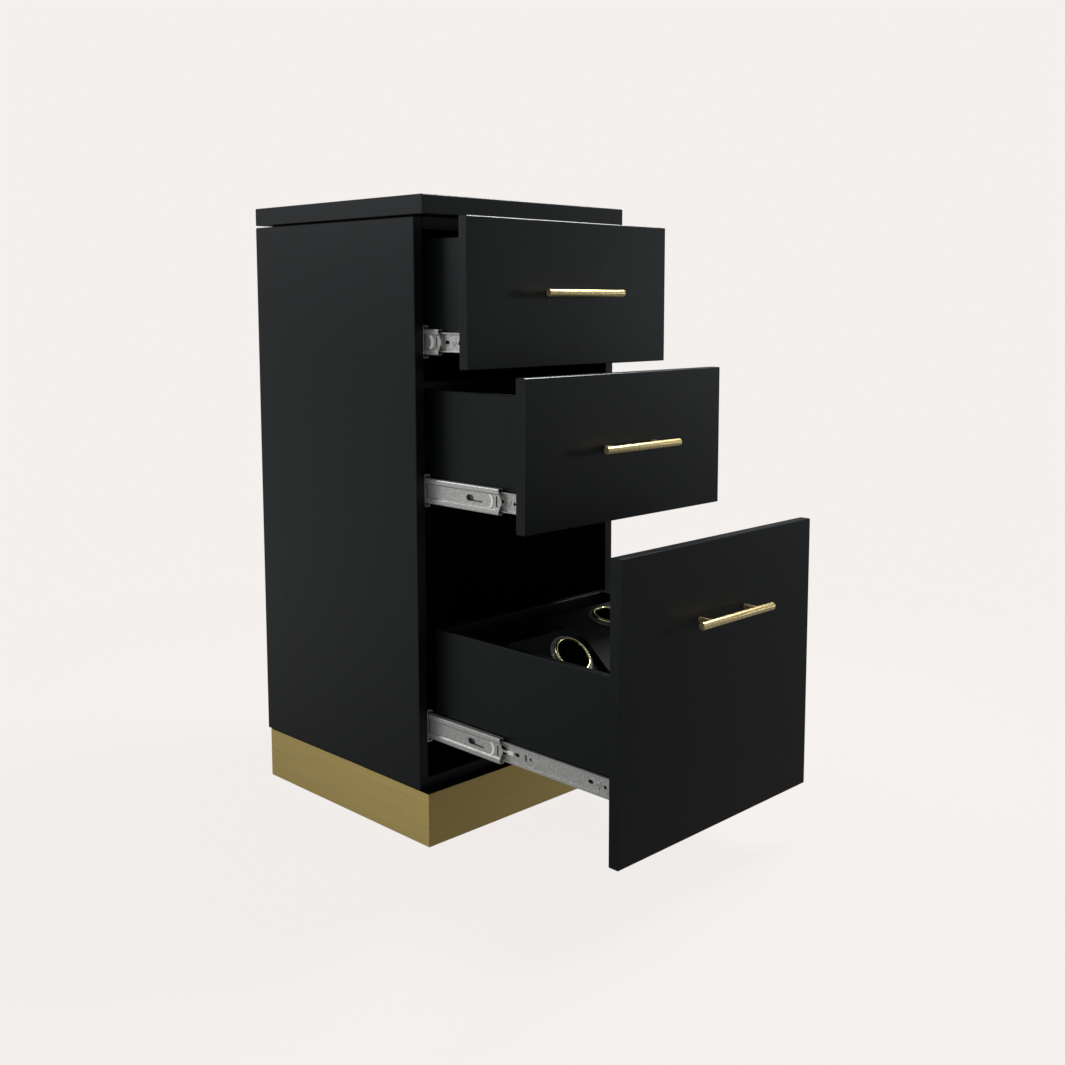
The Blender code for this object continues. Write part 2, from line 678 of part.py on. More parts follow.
def cup_mesh():
    """A turned cup with a flange on the tray and a round bead on its edge.

    Its origin is on the tray, under the flange.
    """
    inner = CUP_RADIUS - CUP_WALL
    flange_top = SEAT_GAP + CUP_FLANGE
    meeting = 180 + math.degrees(math.acos(min(1, CUP_WALL / CUP_BEAD_RADIUS)))
    bead = arc((CUP_RADIUS, CUP_STAND), (CUP_BEAD_RADIUS, CUP_BEAD_RADIUS), -90, meeting,
               BEAD_STEPS)
    profile = [(0, -CUP_DEPTH), (inner, -CUP_DEPTH), (CUP_RADIUS, CUP_WALL - CUP_DEPTH),
               (CUP_RADIUS, SEAT_GAP), (CUP_FLANGE_RADIUS, SEAT_GAP),
               (CUP_FLANGE_RADIUS, flange_top), (CUP_RADIUS, flange_top)]
    profile += bead
    profile += [(inner, CUP_WALL - CUP_DEPTH), (0, CUP_WALL - CUP_DEPTH)]
    return smooth(lathe(profile, CUP_STEPS))


def add_tool_trays(frame, materials):
    """Two folded trays on the drawer's bottom, each holding a cup."""
    edge = BOX_INNER_HALF - SEAT_GAP
    foot = LEFT_TRAY_TOP - LEFT_TRAY_RISE / math.tan(LEFT_TRAY_SLOPE)
    path = [(foot, 0), (LEFT_TRAY_TOP, LEFT_TRAY_RISE)]
    place = (LEFT_TRAY_TOP - LEFT_CUP_DOWN * math.cos(LEFT_TRAY_SLOPE),
             LEFT_TRAY_RISE - LEFT_CUP_DOWN * math.sin(LEFT_TRAY_SLOPE))
    add_tray("left", path, (-edge, TRAY_SPLIT - SEAT_GAP), LEFT_CUP_X, place,
             LEFT_TRAY_SLOPE, frame, materials)
    foot = RIGHT_TRAY_TOP - RIGHT_TRAY_RISE / math.tan(RIGHT_TRAY_SLOPE)
    rear = RIGHT_TRAY_TOP + DECK_DEPTH
    path = [(foot, 0), (RIGHT_TRAY_TOP, RIGHT_TRAY_RISE),
            (rear, RIGHT_TRAY_RISE + DECK_DEPTH * math.tan(DECK_SLOPE)), (rear, 0)]
    place = (RIGHT_TRAY_TOP + RIGHT_CUP_BACK,
             RIGHT_TRAY_RISE + RIGHT_CUP_BACK * math.tan(DECK_SLOPE))
    add_tray("right", path, (TRAY_SPLIT, edge), RIGHT_CUP_X, place, DECK_SLOPE, frame, materials)


def add_tray(side, path, span, cup_x, cup_place, tilt, frame, materials):
    """One tray and its cup, whose flange lies on the tray's sheet."""
    floor = BOX_FLOOR + SEAT_GAP
    mesh = tray_mesh(path, *span, cup_x, cup_place, tilt)
    add_piece(f"{side}_tool_tray", mesh, materials["powder_coat"], frame, (0, 0, floor))
    lift = TRAY_SHEET / 2
    place = (cup_x, cup_place[0] - lift * math.sin(tilt),
             cup_place[1] + lift * math.cos(tilt) + floor)
    add_piece(f"{side}_tool_cup", cup_mesh(), materials["gold"], frame, place, tilt)


# ---------------------------------------------------------------- assembly

def make_materials():
    """The finishes of the product."""
    return {
        "board": make_material("black_board", (0.022, 0.023, 0.025), 0.45, 0.0),
        "gold": make_material("brushed_gold", (0.62, 0.46, 0.17), 0.35, 1.0),
        "zinc": make_material("zinc_steel", (0.62, 0.62, 0.60), 0.35, 1.0),
        "cage": make_material("cage_steel", (0.40, 0.40, 0.40), 0.45, 1.0),
        "powder_coat": make_material("black_powder_coat", (0.03, 0.03, 0.032), 0.5, 0.0),
    }


def clear_scene():
    """Remove every object that the scene holds."""
    for item in list(bpy.data.objects):
        bpy.data.objects.remove(item)


def build():
    """Model the whole cabinet."""
    clear_scene()
    materials = make_materials()
    frame = add_frame("cabinet_frame", None, (0, FRAME_Y, 0))
    add_worktop(frame, materials)
    add_carcass(frame, materials)
    add_plinth(frame, materials)
    slides = slide_meshes()
    handle = handle_mesh()
    for drawer in drawer_stack():
        carriage_frame = add_frame(f"{drawer.name}_carriage_frame", frame,
                                   (0, -drawer.carriage_opened, 0))
        drawer_frame = add_frame(f"{drawer.name}_drawer_frame", frame,
                                 (0, FRONT_THICKNESS - drawer.opened, drawer.box_bottom))
        add_slides(drawer, frame, carriage_frame, drawer_frame, slides, materials)
        add_drawer(drawer, drawer_frame, handle, materials)
        if drawer.name == "bottom":
            add_tool_trays(drawer_frame, materials)


build()
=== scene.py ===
"""Looks of the salon drawer cabinet, laid out as a Blender add-on.

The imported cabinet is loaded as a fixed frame. The operators below give its boards, metal and
slides their finishes, and add the small pieces: bar handles, cups, screws, stop ribs and
release levers.
"""
import json
import math

import bmesh
import bpy
from bpy.props import FloatProperty, FloatVectorProperty, IntProperty, PointerProperty
from mathutils import Matrix, Vector

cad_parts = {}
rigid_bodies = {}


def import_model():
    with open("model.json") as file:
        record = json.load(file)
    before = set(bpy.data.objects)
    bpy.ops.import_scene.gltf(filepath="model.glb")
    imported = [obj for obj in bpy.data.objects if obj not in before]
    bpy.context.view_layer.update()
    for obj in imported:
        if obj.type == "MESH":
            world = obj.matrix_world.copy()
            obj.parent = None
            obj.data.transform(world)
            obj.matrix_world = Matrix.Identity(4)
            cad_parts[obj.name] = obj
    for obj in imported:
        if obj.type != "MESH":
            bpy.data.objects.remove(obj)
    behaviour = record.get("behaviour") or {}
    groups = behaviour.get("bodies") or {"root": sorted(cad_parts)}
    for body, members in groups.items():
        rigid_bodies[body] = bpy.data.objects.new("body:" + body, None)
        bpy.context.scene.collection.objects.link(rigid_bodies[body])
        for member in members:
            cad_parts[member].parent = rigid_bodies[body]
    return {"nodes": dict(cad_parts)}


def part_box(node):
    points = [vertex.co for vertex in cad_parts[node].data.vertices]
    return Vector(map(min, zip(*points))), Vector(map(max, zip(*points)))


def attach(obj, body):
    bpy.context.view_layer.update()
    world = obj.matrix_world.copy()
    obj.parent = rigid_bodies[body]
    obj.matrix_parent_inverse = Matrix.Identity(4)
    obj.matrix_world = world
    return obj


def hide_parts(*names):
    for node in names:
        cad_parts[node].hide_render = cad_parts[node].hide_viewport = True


bl_info = {
    "name": "Salon drawer cabinet",
    "version": (1, 0, 0),
    "blender": (4, 5, 0),
    "location": "View3D > Sidebar > Cabinet",
    "description": "Finishes and small pieces of a salon drawer cabinet",
    "category": "Object",
}

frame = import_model()

DRAWERS = ("top", "middle", "bottom")
# Each side, with the sign of X that points from it to the cabinet's middle.
SIDES = (("left", 1), ("right", -1))
# Edges that turn by more degrees than this stay sharp.
SHARP_ANGLE = 32
# Each soft light's place and the length of its sides, and the point that they all look at.
LIGHTS = {
    "left_light": ((-1.75, 1.95, 1.8), 0.7),
    "key_light": ((5.0, -3.2, 0.95), 0.8),
    "edge_light": ((1.2, -0.3, 2.4), 0.7),
    "front_light": ((-1.6, -2.4, 0.6), 1.0),
}
LIT_POINT = Vector((0, 0, 0.5))
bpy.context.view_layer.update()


# ---------------------------------------------------------------- properties

class HandleSizes(bpy.types.PropertyGroup):
    """Sizes of the bar handles that the cabinet's own nodes don't give."""

    spacing: FloatProperty(
        name="Post spacing", description="Distance between the two posts",
        default=0.096, unit="LENGTH")
    post_radius: FloatProperty(
        name="Post radius", description="Radius of each post", default=0.0033, unit="LENGTH")
    edge: FloatProperty(
        name="End rounding", description="Rounding of the bar's ends", default=0.0007,
        unit="LENGTH")
    steps: IntProperty(
        name="Steps", description="Straight pieces around the bar", default=64, min=12)


class CupSizes(bpy.types.PropertyGroup):
    """Sizes of the tool cups and how far each one leans."""

    radius: FloatProperty(
        name="Radius", description="Outer radius of a cup's wall", default=0.026,
        unit="LENGTH")
    wall: FloatProperty(
        name="Wall", description="Thickness of the wall", default=0.0012, unit="LENGTH")
    liner: FloatProperty(
        name="Liner", description="Thickness of the dark liner", default=0.0004,
        unit="LENGTH")
    depth: FloatProperty(
        name="Depth", description="From the tray down to the cup's bottom", default=0.060,
        unit="LENGTH")
    stand: FloatProperty(
        name="Stand", description="From the tray up to the middle of the bead",
        default=0.0045, unit="LENGTH")
    bead: FloatProperty(
        name="Bead", description="Radius of the gold bead's round", default=0.0022,
        unit="LENGTH")
    flange_radius: FloatProperty(
        name="Flange radius", description="Outer radius of the flange on the tray",
        default=0.033, unit="LENGTH")
    flange: FloatProperty(
        name="Flange", description="Thickness of the flange", default=0.0012, unit="LENGTH")
    seat: FloatProperty(
        name="Seat", description="Gap between the tray and the flange", default=0.0003,
        unit="LENGTH")
    left_lean: FloatProperty(
        name="Left lean", description="How far the left cup leans forward", subtype="ANGLE",
        default=math.radians(43.7))
    right_lean: FloatProperty(
        name="Right lean", description="How far the right cup leans forward",
        subtype="ANGLE", default=math.radians(12))
    steps: IntProperty(
        name="Steps", description="Straight pieces around a cup", default=96, min=12)


class SlideSizes(bpy.types.PropertyGroup):
    """Sizes of the small pieces on the slides."""

    sheet: FloatProperty(
        name="Sheet", description="Thickness of the members' sheet", default=0.0012,
        unit="LENGTH")
    member_screws: FloatVectorProperty(
        name="Drawer screws", description="Screws of a drawer member, from its front end",
        size=2, default=(0.038, 0.320), unit="LENGTH")
    cabinet_screws: FloatVectorProperty(
        name="Cabinet screws", description="Screws of a cabinet member, from its front end",
        size=2, default=(0.035, 0.291), unit="LENGTH")
    head_radius: FloatProperty(
        name="Head radius", description="Radius of a screw's head", default=0.0036,
        unit="LENGTH")
    head_height: FloatProperty(
        name="Head height", description="Height of a screw's head", default=0.0011,
        unit="LENGTH")
    low_head: FloatProperty(
        name="Low head", description="Height of the cabinet screws' heads as a share of the others'",
        default=0.6, min=0.1, max=1)
    recess: FloatProperty(
        name="Recess", description="Depth of the cross recess", default=0.0007, unit="LENGTH")
    head_steps: IntProperty(
        name="Head steps", description="Straight pieces around a head", default=32, min=12)
    carriage_recess: FloatProperty(
        name="Carriage recess", description="How far the carriage's web lies back",
        default=0.0018, unit="LENGTH")
    rib: FloatVectorProperty(
        name="Stop rib", description="Width, height, bulge and rise of a stop rib", size=4,
        default=(0.0042, 0.0185, 0.0050, 0.0012), unit="LENGTH")
    rib_distance: FloatProperty(
        name="Rib distance", description="From the carriage's tongue to the rib's ends",
        default=0.0195, unit="LENGTH")
    lever_distance: FloatProperty(
        name="Lever distance", description="From the member's front end to the lever's tip",
        default=0.1905, unit="LENGTH")
    lever_length: FloatProperty(
        name="Lever length", description="Length of a release lever", default=0.034,
        unit="LENGTH")
    lever_width: FloatProperty(
        name="Lever width", description="Width of the lever's plate", default=0.0058,
        unit="LENGTH")
    lever_thickness: FloatProperty(
        name="Lever thickness", description="Thickness of a lever", default=0.0016,
        unit="LENGTH")


class Finishes(bpy.types.PropertyGroup):
    """Colours and gloss of the cabinet."""

    board: FloatVectorProperty(
        name="Board", description="Black laminate of the boards", subtype="COLOR", size=3,
        min=0, max=1, default=(0.0022, 0.0025, 0.0026))
    board_gloss: FloatProperty(
        name="Board roughness", description="Roughness of the laminate", default=0.38,
        min=0, max=1)
    gold: FloatVectorProperty(
        name="Gold", description="Pale gold of the handles", subtype="COLOR",
        size=3, min=0, max=1, default=(0.66, 0.53, 0.255))
    # Painted light: the beads' gold is about one and a half times the handles' gold, brightened so
    # that the beads look lit though they mirror the dark cup.
    bead: FloatVectorProperty(
        name="Bead", description="Bright gold of the cups' beads", subtype="COLOR",
        size=3, min=0, max=1, default=(1.0, 0.80, 0.42))
    cladding: FloatVectorProperty(
        name="Cladding", description="Brushed gold of the plinth", subtype="COLOR",
        size=3, min=0, max=1, default=(0.51, 0.39, 0.143))
    zinc: FloatVectorProperty(
        name="Zinc", description="Zinc-plated steel of the slides", subtype="COLOR", size=3,
        min=0, max=1, default=(0.53, 0.53, 0.51))
    tray: FloatVectorProperty(
        name="Tray", description="Powder coat of the tool trays", subtype="COLOR", size=3,
        min=0, max=1, default=(0.0034, 0.0038, 0.0038))
    plastic: FloatVectorProperty(
        name="Plastic", description="Plastic of the levers and ribs", subtype="COLOR", size=3,
        min=0, max=1, default=(0.93, 0.93, 0.90))


class Studio(bpy.types.PropertyGroup):
    """Camera, lights and floor."""

    camera: FloatVectorProperty(
        name="Camera", description="Place of the camera", subtype="XYZ", unit="LENGTH",
        size=3, default=(-1.2820, -1.3132, 0.7568))
    heading: FloatProperty(
        name="Heading", description="Turn of the camera from +Y towards +X",
        subtype="ANGLE", default=math.radians(45.351))
    pitch: FloatProperty(
        name="Pitch", description="How far the camera looks down", subtype="ANGLE",
        default=math.radians(6.487))
    lens: FloatProperty(
        name="Lens", description="Focal length in millimetres", default=42.6)
    shift: FloatVectorProperty(
        name="Shift", description="Shift of the lens", size=2, default=(-0.0152, -0.0812))
    paper: FloatVectorProperty(
        name="Paper", description="Pale floor and background", subtype="COLOR", size=3,
        min=0, max=1, default=(0.905, 0.871, 0.847))
    glow: FloatProperty(
        name="Glow", description="How much of the floor's light near the cabinet is even",
        default=0.95, min=0, max=1)
    floor_light: FloatVectorProperty(
        name="Floor light", description="Light the floor sends back, and more from its bright side",
        size=2, default=(0.31, 0.38))
    sky_light: FloatVectorProperty(
        name="Sky light", description="Light from all around, and more from the bright side",
        size=2, default=(0.22, 0.24))
    bright_side: FloatVectorProperty(
        name="Bright side", description="Where the room is brighter", subtype="XYZ", size=3,
        default=(-0.75, 0.62, 0.25))
    left_light: FloatProperty(
        name="Left light", description="Power of the soft light behind the left side",
        default=19, unit="POWER")
    key_light: FloatProperty(
        name="Key light", description="Power of the low light at the right of the front",
        default=20, unit="POWER")
    edge_light: FloatProperty(
        name="Edge light", description="Power of the high light that draws the top edges",
        default=75, unit="POWER")
    front_light: FloatProperty(
        name="Front light", description="Power of the low light near the camera", default=11,
        unit="POWER")
    cool: FloatVectorProperty(
        name="Cool", description="Tint of the light from all around", subtype="COLOR", size=3,
        min=0, max=2, default=(0.93, 1.0, 1.04))


# ---------------------------------------------------------------- materials

class Value:
    """An output socket in a node tree; arithmetic on it adds Math nodes."""

    def __init__(self, graph, socket):
        self.graph = graph
        self.socket = socket

    def math(self, operation, *inputs):
        return self.graph.node("ShaderNodeMath", {"operation": operation}, *inputs)

    def __add__(self, other):
        return self.math("ADD", self, other)

    __radd__ = __add__

    def __sub__(self, other):
        return self.math("SUBTRACT", self, other)

    def __rsub__(self, other):
        return self.math("SUBTRACT", other, self)

    def __mul__(self, other):
        return self.math("MULTIPLY", self, other)

    __rmul__ = __mul__

    def __abs__(self):
        return self.math("ABSOLUTE", self)

    def between(self, low, high):
        """0 at low, 1 at high and smooth in between."""
        settings = {"interpolation_type": "SMOOTHSTEP"}
        return self.graph.node("ShaderNodeMapRange", settings,
                               **{"Value": self, "From Min": low, "From Max": high})


class Graph:
    """A node tree that is being built."""

    def __init__(self, tree):
        self.nodes = tree.nodes
        self.links = tree.links

    def connect(self, socket, value):
        """Link a value to a socket, or set the socket to a constant."""
        if isinstance(value, Value):
            self.links.new(value.socket, socket)
        else:
            socket.default_value = value

    def node(self, kind, settings=None, *inputs, output=0, **named):
        """Add a node: its settings first, then the values or links of its sockets."""
        node = self.nodes.new(kind)
        for key, setting in (settings or {}).items():
            setattr(node, key, setting)
        sockets = {socket.identifier: socket for socket in node.inputs}
        for key, value in [*enumerate(inputs), *named.items()]:
            self.connect(sockets.get(key) or node.inputs[key], value)
        return Value(self, node.outputs[output])

    def along(self, vector, direction):
        """How far a vector reaches along a direction."""
        return self.node("ShaderNodeVectorMath", {"operation": "DOT_PRODUCT"}, vector,
                         tuple(direction), output="Value")

    def seen_by_camera(self):
        """1 where the camera looks straight at it, 0 in reflections and as a light."""
        return self.node("ShaderNodeLightPath", output="Is Camera Ray")


class Finish(Graph):
    """A procedural material that is being built."""

    def __init__(self, name, roughness=0.5, metallic=0.0, **constants):
        self.material = bpy.data.materials.new(name)
        self.material.use_nodes = True
        super().__init__(self.material.node_tree)
        self.shader = self.nodes["Principled BSDF"]
        self.set("Roughness", roughness)
        self.set("Metallic", metallic)
        for name_of_input, constant in constants.items():
            self.set(name_of_input.replace("_", " "), constant)
        self.place = self.node("ShaderNodeTexCoord", output="Object")

    def set(self, name, value):
        """Feed one input of the Principled shader."""
        self.connect(self.shader.inputs[name], value)

    def stretched(self, scale):
        """Object coordinates stretched along each axis."""
        return self.node("ShaderNodeVectorMath", {"operation": "MULTIPLY"}, self.place,
                         tuple(scale))

    def noise(self, scale, detail=3.0, stretch=(1, 1, 1), rough=0.5):
        """Noise from 0 to 1, with its scale in cells per metre."""
        coordinates = self.stretched([scale * side for side in stretch])
        return self.node("ShaderNodeTexNoise", None, output="Fac", Vector=coordinates,
                         Scale=1.0, Detail=detail, Roughness=rough)

    def slant(self):
        """How far a face turns away from the cabinet's axes: 0 on flat boards."""
        normal = self.node("ShaderNodeTexCoord", output="Normal")
        parts = [abs(self.node("ShaderNodeSeparateXYZ", None, normal, output=name))
                 for name in ("X", "Y", "Z")]
        return parts[0] + parts[1] + parts[2] - 1.0

    def shade(self, colour, other, factor):
        """Colour between two colours by a factor from 0 to 1."""
        return self.node("ShaderNodeMix", {"data_type": "RGBA"}, factor, output=2,
                         A_Color=colour, B_Color=other)

    def bump(self, height, distance):
        """Bump from a height, with its distance in metres."""
        self.set("Normal", self.node("ShaderNodeBump", None, Height=height, Distance=distance))


def scaled(colour, factor):
    """A colour made lighter or darker, as RGBA."""
    return (*[min(1.0, part * factor) for part in colour], 1.0)


def laminate(name, colour, roughness):
    """Satin black laminate: fine pearl texture, faint cloudiness, handling marks, and painted
    highlights on the arrises.
    """
    finish = Finish(name, Specular_IOR_Level=0.19, Specular_Tint=(0.90, 0.955, 1.0, 1.0))
    pearl = finish.noise(2600, detail=2.0)
    cloud = finish.noise(6.0, detail=4.0)
    rubbed = finish.noise(34, detail=5.0, stretch=(1.0, 1.0, 0.35), rough=0.65).between(0.56, 0.78)
    base = finish.shade(scaled(colour, 0.88), scaled(colour, 1.14), cloud.between(0.3, 0.7))
    base = finish.shade(base, scaled(colour, 1.5), rubbed * 0.35)
    # Painted highlight: faces that turn away from the board's flat sides get a base colour three
    # times lighter, for the light that the edges catch.
    painted_arris_highlight = finish.slant().between(0.1, 0.35)
    finish.set("Base Color", finish.shade(base, scaled(colour, 3.0), painted_arris_highlight))
    satin = roughness + cloud * 0.05 + pearl * 0.05 - rubbed * 0.05
    finish.set("Roughness", satin - painted_arris_highlight * 0.12)
    finish.bump(pearl + finish.noise(420, detail=2.0) * 0.6, distance=0.00004)
    return finish.material


def brushed(name, colour, roughness, grain):
    """Brushed metal with tall highlights; grain is in cells per metre along X, Y and Z."""
    streak = 0.09
    finish = Finish(name, metallic=1.0, Anisotropic=0.8, Anisotropic_Rotation=0.25)
    fine = finish.noise(1.0, detail=3.0, stretch=grain, rough=0.6)
    broad = finish.noise(0.22, detail=2.0, stretch=grain)
    cloud = finish.noise(9.0, detail=3.0)
    streaks = fine * 0.65 + broad * 0.35
    base = finish.shade(scaled(colour, 1 - streak), scaled(colour, 1 + streak),
                        streaks.between(0.3, 0.7))
    finish.set("Base Color", base)
    finish.set("Roughness", roughness - 0.07 + streaks * 0.14 + cloud * 0.04)
    finish.bump(fine, distance=0.00001)
    return finish.material


def grained(name, colour, roughness, depth, metallic):
    """Satin metal with a fine sparkling grain and faint wear."""
    finish = Finish(name, metallic=metallic)
    grain = finish.noise(520, detail=2.0, rough=0.7)
    coarse = finish.noise(210, detail=2.0)
    wear = finish.noise(55, detail=4.0).between(0.45, 0.75)
    base = finish.shade(scaled(colour, 0.62), scaled(colour, 1.3), grain.between(0.34, 0.66))
    finish.set("Base Color", finish.shade(base, scaled(colour, 0.85), wear * 0.4))
    finish.set("Roughness", roughness + coarse * 0.10 + wear * 0.06)
    finish.bump(grain + coarse * 0.8, distance=depth)
    return finish.material


def zinc_plate(name, colour):
    """Bright zinc plate with faint mottling, rolling lines and yellowish smudges."""
    tint = (0.92, 0.90, 0.82)
    finish = Finish(name, metallic=0.85)
    mottle = finish.noise(420, detail=3.0)
    rolled = finish.noise(1.0, detail=2.0, stretch=(900, 14, 900))
    smudge = finish.noise(46, detail=4.0).between(0.5, 0.75)
    base = finish.shade(scaled(colour, 0.78), scaled(colour, 1.14), mottle.between(0.3, 0.7))
    tinted = [part * share for part, share in zip(colour, tint)]
    finish.set("Base Color", finish.shade(base, (*tinted, 1.0), smudge * 0.5))
    finish.set("Roughness", 0.42 + mottle * 0.12 + smudge * 0.08)
    finish.bump(rolled + mottle * 0.3, distance=0.00003)
    return finish.material


def powder_coat(name, colour):
    """Dull black powder coat with its orange-peel surface."""
    finish = Finish(name, Specular_IOR_Level=0.15)
    peel = finish.noise(950, detail=1.0)
    cloud = finish.noise(12, detail=3.0)
    finish.set("Base Color", finish.shade(scaled(colour, 0.85), scaled(colour, 1.25), cloud))
    finish.set("Roughness", 0.50 + peel * 0.10)
    finish.bump(peel, distance=0.00005)
    return finish.material


def moulded_plastic(name, colour):
    """Pale moulded plastic of the release levers and stop ribs."""
    finish = Finish(name)
    grain = finish.noise(1500, detail=2.0)
    cloud = finish.noise(90, detail=2.0)
    finish.set("Base Color", finish.shade(scaled(colour, 0.9), scaled(colour, 1.0), cloud))
    finish.set("Roughness", 0.38 + grain * 0.14)
    finish.bump(grain, distance=0.00002)
    return finish.material


def made_once(name, make, colour, **settings):
    """The material of that name, made the first time it is asked for."""
    known = bpy.data.materials.get(name)
    return known or make(name, colour, **settings)


def dull_zinc(finishes):
    """Darker zinc plate, for the cups and for the ball cages."""
    # Painted shade: the slides' zinc at 0.55 of its brightness, a shaded copy for the cup shells and
    # the ball cages.
    darker = 0.55
    return made_once("dull_zinc", zinc_plate, [part * darker for part in finishes.zinc])


# ---------------------------------------------------------------- shapes

def new_piece(name, mesh, material, body):
    """A shown piece that moves with one of the cabinet's bodies."""
    piece = bpy.data.objects.new(name, mesh)
    bpy.context.scene.collection.objects.link(piece)
    mesh.materials.clear()
    mesh.materials.append(material)
    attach(piece, body)
    return piece


def paint(node, material, sharp=SHARP_ANGLE):
    """Give one of the cabinet's own nodes its finish; edges above an angle stay sharp."""
    piece = frame["nodes"][node]
    piece.data.materials.clear()
    piece.data.materials.append(material)
    smooth(piece.data, sharp)
    return piece


def turned(profile, steps):
    """Turn (radius, height) points about Z; a profile that starts off the axis is a ring."""
    bm = bmesh.new()
    on_axis = profile[0][0] == 0
    rings = []
    for radius, height in profile[1:-1] if on_axis else profile:
        angles = [math.tau * step / steps for step in range(steps)]
        rings.append([bm.verts.new((radius * math.cos(a), radius * math.sin(a), height))
                      for a in angles])
    pairs = list(zip(rings, rings[1:]))
    if not on_axis:
        pairs.append((rings[-1], rings[0]))
    for low, high in pairs:
        for step in range(steps):
            after = (step + 1) % steps
            bm.faces.new((low[step], low[after], high[after], high[step]))
    if on_axis:
        for ring, (_, height) in ((rings[0], profile[0]), (rings[-1], profile[-1])):
            pole = bm.verts.new((0, 0, height))
            for step in range(steps):
                bm.faces.new((ring[step], ring[(step + 1) % steps], pole))
    return finished(bm, "turned")


def finished(bm, name):
    """Close a bmesh into a mesh with its faces pointing out."""
    bmesh.ops.recalc_face_normals(bm, faces=bm.faces)
    mesh = bpy.data.meshes.new(name)
    bm.to_mesh(mesh)
    bm.free()
    return mesh


def arc(centre, radius, start, end, steps):
    """Points on a circle's arc, with the angles in degrees."""
    angles = [math.radians(start + (end - start) * step / steps) for step in range(steps + 1)]
    return [(centre[0] + radius * math.cos(a), centre[1] + radius * math.sin(a))
            for a in angles]


def rounded_bar(radius, edge, half, steps=5):
    """Profile of a turned bar with rounded ends, from its radius and half of its length."""
    return ([(0, -half)] + arc((radius - edge, edge - half), edge, -90, 0, steps)
            + arc((radius - edge, half - edge), edge, 0, 90, steps) + [(0, half)])


def joined(meshes, name):
    """Several meshes as one."""
    bm = bmesh.new()
    for mesh in meshes:
        bm.from_mesh(mesh)
    whole = bpy.data.meshes.new(name)
    bm.to_mesh(whole)
    bm.free()
    return whole


def moved(mesh, matrix):
    """A copy of a mesh, moved; a mirrored copy keeps its faces pointing out."""
    copy = mesh.copy()
    copy.transform(matrix)
    if matrix.determinant() < 0:
        copy.flip_normals()
    return copy


def smooth(mesh, angle=SHARP_ANGLE):
    """Shade a mesh smooth, with its real edges left sharp."""
    mesh.shade_smooth()
    mesh.set_sharp_from_angle(angle=math.radians(angle))
    return mesh


def without(mesh, tool):
    """A mesh with another one cut from it."""
    objects = bpy.context.scene.collection.objects
    base = bpy.data.objects.new("base", mesh)
    cutter = bpy.data.objects.new("cutter", tool)
    objects.link(base)
    objects.link(cutter)
    modifier = base.modifiers.new("cut", "BOOLEAN")
    modifier.object = cutter
    depsgraph = bpy.context.evaluated_depsgraph_get()
    result = bpy.data.meshes.new_from_object(base.evaluated_get(depsgraph))
    bpy.data.objects.remove(base)
    bpy.data.objects.remove(cutter)
    return result


def slab(outline, low, high):
    """An outline in the XY plane, pushed from low to high along Z."""
    bm = bmesh.new()
    bottom, top = [[bm.verts.new((x, y, z)) for x, y in outline] for z in (low, high)]
    bm.faces.new(bottom)
    bm.faces.new(top)
    for step in range(len(outline)):
        bm.faces.new((bottom[step - 1], bottom[step], top[step], top[step - 1]))
    return finished(bm, "slab")


def screw_head(sizes, steps=6):
    """Pan head with a cross recess; it stands on Z 0 and looks along +Z."""
    radius = sizes.head_radius
    height = sizes.head_height
    rim = 0.25  # the rim's height, as a share of the head's
    fullness = 0.6  # 1 is a half ellipse, less is a fuller dome
    profile = [(0, 0), (radius, 0)]
    for step in range(steps):
        angle = math.pi / 2 * step / steps
        profile.append((radius * math.cos(angle) ** fullness,
                        height * (rim + (1 - rim) * math.sin(angle))))
    head = turned(profile + [(0, height)], sizes.head_steps)
    recess = slab(cross(radius * 0.55, radius * 0.13), height - sizes.recess, height * 2)
    return smooth(without(head, recess))


def cross(arm, half):
    """Outline of a cross from the length of its arms and half of their width."""
    corner = [(-arm, -half), (-half, -half), (-half, -arm)]
    outline = []
    for _ in range(4):
        outline += corner
        corner = [(-y, x) for x, y in corner]
    return outline


def stop_rib(sizes, steps=16):
    """A curved rib; it stands on Z 0, runs along X and bulges towards -Y."""
    width, height, bulge, rise = sizes.rib
    taper = 0.93  # the hollow side's height, as a share of the round side's
    radius = (height * height / 4 + bulge * bulge) / (2 * bulge)
    angle = math.degrees(math.asin(height / 2 / radius))
    front = arc((0, radius - bulge), radius, -90 - angle, -90 + angle, steps)
    back = [(x * taper, y + width) for x, y in reversed(front)]
    return smooth(slab(front + back, 0, rise))


# ---------------------------------------------------------------- operators

